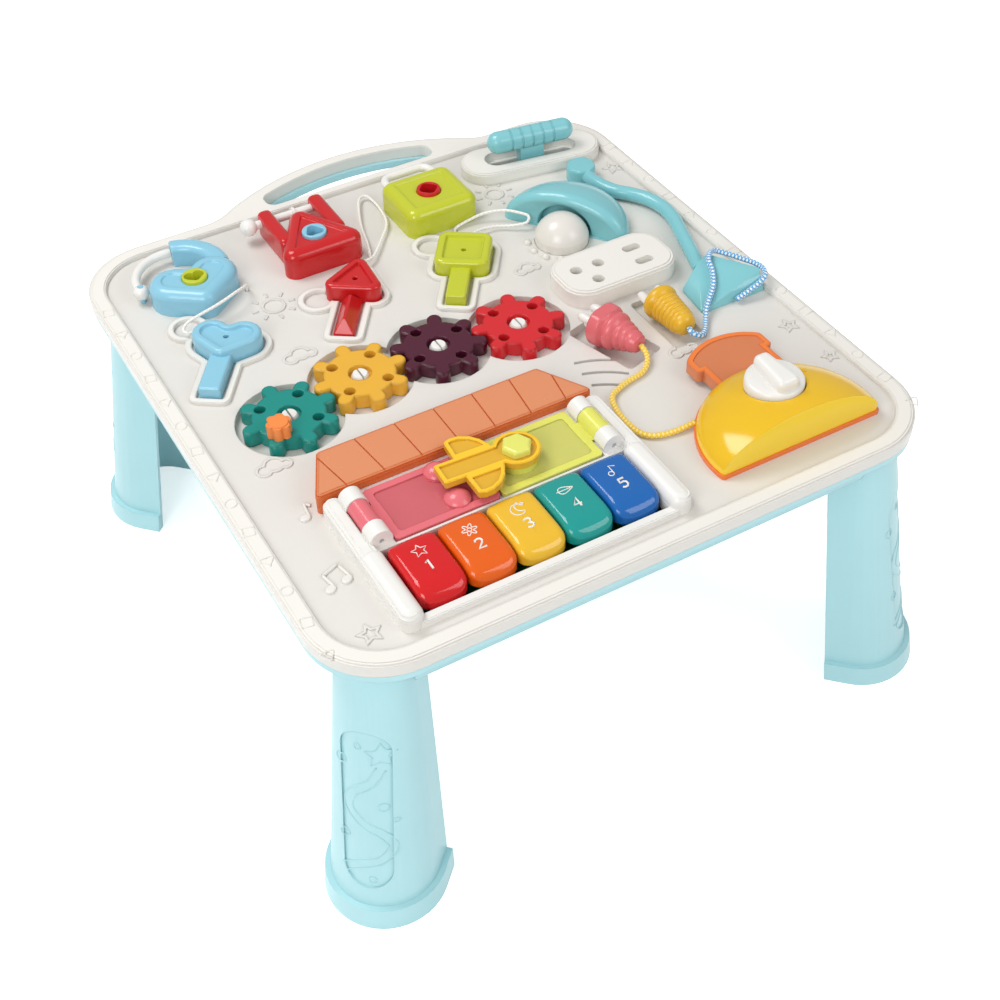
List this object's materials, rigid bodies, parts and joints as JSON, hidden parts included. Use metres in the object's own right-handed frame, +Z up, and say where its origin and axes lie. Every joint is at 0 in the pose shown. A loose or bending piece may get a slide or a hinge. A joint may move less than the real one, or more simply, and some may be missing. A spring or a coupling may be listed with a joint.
{
  "type": "musical activity table",
  "caption": "Child's activity table on four splayed legs: piano keys under a little roof with two doors, meshing gears, shape locks with keys, lamp, plugs, slider and toaster.",
  "frame": {"origin": "on the ground, under the middle of the whole table's box", "axes": "+X to the right, +Y to the back, where the carrying handle is, +Z up; the piano is at the front left"},
  "size_m": [0.4366, 0.4803, 0.2424],
  "materials": {
    "aqua": "smooth moulded",
    "board_green": "smooth moulded",
    "cord_white": "braided",
    "dark_grey": "smooth moulded",
    "deep_blue": "smooth moulded",
    "deep_teal": "smooth moulded",
    "frame_white": "smooth moulded",
    "leaf_green": "smooth moulded",
    "lime": "smooth moulded",
    "metal_grey": "brushed",
    "pale_teal": "smooth moulded",
    "plate_beige": "smooth moulded",
    "plum": "smooth moulded",
    "rope_blue": "braided",
    "rope_yellow": "braided",
    "rose": "smooth moulded",
    "sky_blue": "smooth moulded",
    "toy_orange": "smooth moulded",
    "toy_red": "smooth moulded",
    "toy_yellow": "smooth moulded"
  },
  "bodies": {
    "table": {"top_panel": "plate_beige", "under_tray": "pale_teal", "leg_front_left": "pale_teal", "leg_front_right": "pale_teal", "leg_rear_left": "pale_teal", "leg_rear_right": "pale_teal", "case_screws": "metal_grey", "house_frame": "frame_white", "key_axle": "metal_grey", "contact_pads": "dark_grey", "circuit_board": "board_green", "speaker": "dark_grey", "battery_cells": "metal_grey", "battery_cover": "pale_teal", "roof": "toy_orange", "hinge_pins": "metal_grey", "gear_pins": "frame_white", "heart_lock": "sky_blue", "triangle_lock": "toy_red", "square_lock": "lime", "heart_tether": "cord_white", "triangle_tether": "cord_white", "square_tether": "cord_white", "lamp_base": "aqua", "lamp_arm": "aqua", "lamp_shade": "aqua", "pink_rope": "rope_yellow", "yellow_rope": "rope_blue", "toaster_base": "toy_orange", "toaster_cover": "toy_yellow"},
    "power_switch": {"power_switch": "dark_grey"},
    "door_left": {"door_left": "rose"},
    "door_right": {"door_right": "leaf_green", "latch_knob": "lime"},
    "rocket_latch": {"rocket_latch": "toy_yellow"},
    "gear_1": {"gear_1": "deep_teal", "crank_knob": "toy_orange"},
    "gear_2": {"gear_2": "toy_yellow"},
    "gear_3": {"gear_3": "plum"},
    "gear_4": {"gear_4": "toy_red"},
    "toaster_dial": {"toaster_dial": "frame_white"},
    "toast_slice": {"toast_slice": "toy_orange"},
    "piano_key_1": {"piano_key_1": "toy_red"},
    "piano_key_2": {"piano_key_2": "toy_orange"},
    "piano_key_3": {"piano_key_3": "toy_yellow"},
    "piano_key_4": {"piano_key_4": "deep_teal"},
    "piano_key_5": {"piano_key_5": "deep_blue"},
    "heart_rotor": {"heart_rotor": "lime"},
    "triangle_rotor": {"triangle_rotor": "sky_blue"},
    "square_rotor": {"square_rotor": "toy_red"},
    "heart_bolt": {"heart_bolt": "frame_white"},
    "triangle_bolt": {"triangle_bolt": "frame_white"},
    "square_shackle": {"square_shackle": "frame_white"},
    "heart_key": {"heart_key": "sky_blue"},
    "triangle_key": {"triangle_key": "toy_red"},
    "square_key": {"square_key": "lime"},
    "slider_grip": {"slider_grip": "aqua"},
    "lamp_bulb": {"lamp_bulb": "frame_white"},
    "pink_plug": {"pink_plug": "rose"},
    "yellow_plug": {"yellow_plug": "toy_yellow"}
  },
  "joints": [
    {"name": "piano_key_1_press", "type": "hinge", "parent": "table", "child": "piano_key_1", "pos_m": [-0.1226, -0.13935, 0.2005], "axis": [1, 0, 0], "range_deg": [0, 4], "stiffness_Nm_per_rad": 0.5, "springref_deg": -5.73},
    {"name": "piano_key_2_press", "type": "hinge", "parent": "table", "child": "piano_key_2", "pos_m": [-0.0918, -0.13935, 0.2005], "axis": [1, 0, 0], "range_deg": [0, 4], "stiffness_Nm_per_rad": 0.5, "springref_deg": -5.73},
    {"name": "piano_key_3_press", "type": "hinge", "parent": "table", "child": "piano_key_3", "pos_m": [-0.061, -0.13935, 0.2005], "axis": [1, 0, 0], "range_deg": [0, 4], "stiffness_Nm_per_rad": 0.5, "springref_deg": -5.73},
    {"name": "piano_key_4_press", "type": "hinge", "parent": "table", "child": "piano_key_4", "pos_m": [-0.0302, -0.13935, 0.2005], "axis": [1, 0, 0], "range_deg": [0, 4], "stiffness_Nm_per_rad": 0.5, "springref_deg": -5.73},
    {"name": "piano_key_5_press", "type": "hinge", "parent": "table", "child": "piano_key_5", "pos_m": [0.0006, -0.13935, 0.2005], "axis": [1, 0, 0], "range_deg": [0, 4], "stiffness_Nm_per_rad": 0.5, "springref_deg": -5.73},
    {"name": "power_switch_slide", "type": "slide", "parent": "table", "child": "power_switch", "axis": [1, 0, 0], "range_m": [0, 0.006]},
    {"name": "door_right_hinge", "type": "hinge", "parent": "table", "child": "door_right", "pos_m": [0.0142, -0.12785, 0.216], "axis": [0, 1, 0], "range_deg": [0, 95]},
    {"name": "door_left_hinge", "type": "hinge", "parent": "table", "child": "door_left", "pos_m": [-0.1362, -0.12785, 0.216], "axis": [0, -1, 0], "range_deg": [0, 95]},
    {"name": "rocket_latch_turn", "type": "hinge", "parent": "door_right", "child": "rocket_latch", "pos_m": [-0.0395, -0.12385, 0.22], "axis": [0, 0, 1], "range_deg": [0, 90]},
    {"name": "gear_1_spin", "type": "hinge", "parent": "table", "child": "gear_1", "pos_m": [-0.134, -0.01285, 0.205], "axis": [0, 0, 1], "continuous": true},
    {"name": "gear_2_spin", "type": "hinge", "parent": "table", "child": "gear_2", "pos_m": [-0.08041, -0.00048, 0.205], "axis": [0, 0, 1], "continuous": true},
    {"name": "gear_3_spin", "type": "hinge", "parent": "table", "child": "gear_3", "pos_m": [-0.02541, -0.00048, 0.205], "axis": [0, 0, 1], "continuous": true},
    {"name": "gear_4_spin", "type": "hinge", "parent": "table", "child": "gear_4", "pos_m": [0.02918, -0.00718, 0.205], "axis": [0, 0, 1], "continuous": true},
    {"name": "heart_rotor_turn", "type": "hinge", "parent": "table", "child": "heart_rotor", "pos_m": [-0.136, 0.13115, 0.215], "axis": [0, 0, 1], "range_deg": [0, 90]},
    {"name": "triangle_rotor_turn", "type": "hinge", "parent": "table", "child": "triangle_rotor", "pos_m": [-0.048, 0.13415, 0.215], "axis": [0, 0, 1], "range_deg": [0, 90]},
    {"name": "square_rotor_turn", "type": "hinge", "parent": "table", "child": "square_rotor", "pos_m": [0.042, 0.13915, 0.215], "axis": [0, 0, 1], "range_deg": [0, 90]},
    {"name": "heart_bolt_swing", "type": "hinge", "parent": "table", "child": "heart_bolt", "pos_m": [-0.16907, 0.1457, 0.213], "axis": [0, 0, 1], "range_deg": [0, 60]},
    {"name": "triangle_bolt_slide", "type": "slide", "parent": "table", "child": "triangle_bolt", "axis": [-1, 0, 0], "range_m": [0, 0.012]},
    {"name": "square_shackle_slide", "type": "slide", "parent": "table", "child": "square_shackle", "axis": [0, 1, 0], "range_m": [0, 0.01]},
    {"name": "heart_key_lift", "type": "slide", "parent": "table", "child": "heart_key", "axis": [0, 0, 1], "range_m": [0, 0.06]},
    {"name": "triangle_key_lift", "type": "slide", "parent": "table", "child": "triangle_key", "axis": [0, 0, 1], "range_m": [0, 0.06]},
    {"name": "square_key_lift", "type": "slide", "parent": "table", "child": "square_key", "axis": [0, 0, 1], "range_m": [0, 0.06]},
    {"name": "slider_slide", "type": "slide", "parent": "table", "child": "slider_grip", "axis": [0.9877, -0.1564, 0], "range_m": [-0.02, 0.02]},
    {"name": "lamp_bulb_press", "type": "slide", "parent": "table", "child": "lamp_bulb", "axis": [0, 0, -1], "range_m": [0, 0.003], "stiffness_N_per_m": 500, "springref_m": -0.003},
    {"name": "pink_plug_lift", "type": "slide", "parent": "table", "child": "pink_plug", "axis": [0, 0, 1], "range_m": [0, 0.06]},
    {"name": "yellow_plug_lift", "type": "slide", "parent": "table", "child": "yellow_plug", "axis": [0, 0, 1], "range_m": [0, 0.06]},
    {"name": "toast_push", "type": "slide", "parent": "table", "child": "toast_slice", "axis": [0, -1, 0], "range_m": [0, 0.018]},
    {"name": "toaster_dial_turn", "type": "hinge", "parent": "table", "child": "toaster_dial", "pos_m": [0.115, -0.15985, 0.233], "axis": [0, 0, 1], "continuous": true}
  ],
  "couplings": [
    {"joint": "door_left_hinge", "follows": "door_right_hinge", "ratio": 1},
    {"joint": "gear_2_spin", "follows": "gear_1_spin", "ratio": -1},
    {"joint": "gear_3_spin", "follows": "gear_1_spin", "ratio": 1},
    {"joint": "gear_4_spin", "follows": "gear_1_spin", "ratio": -1}
  ]
}
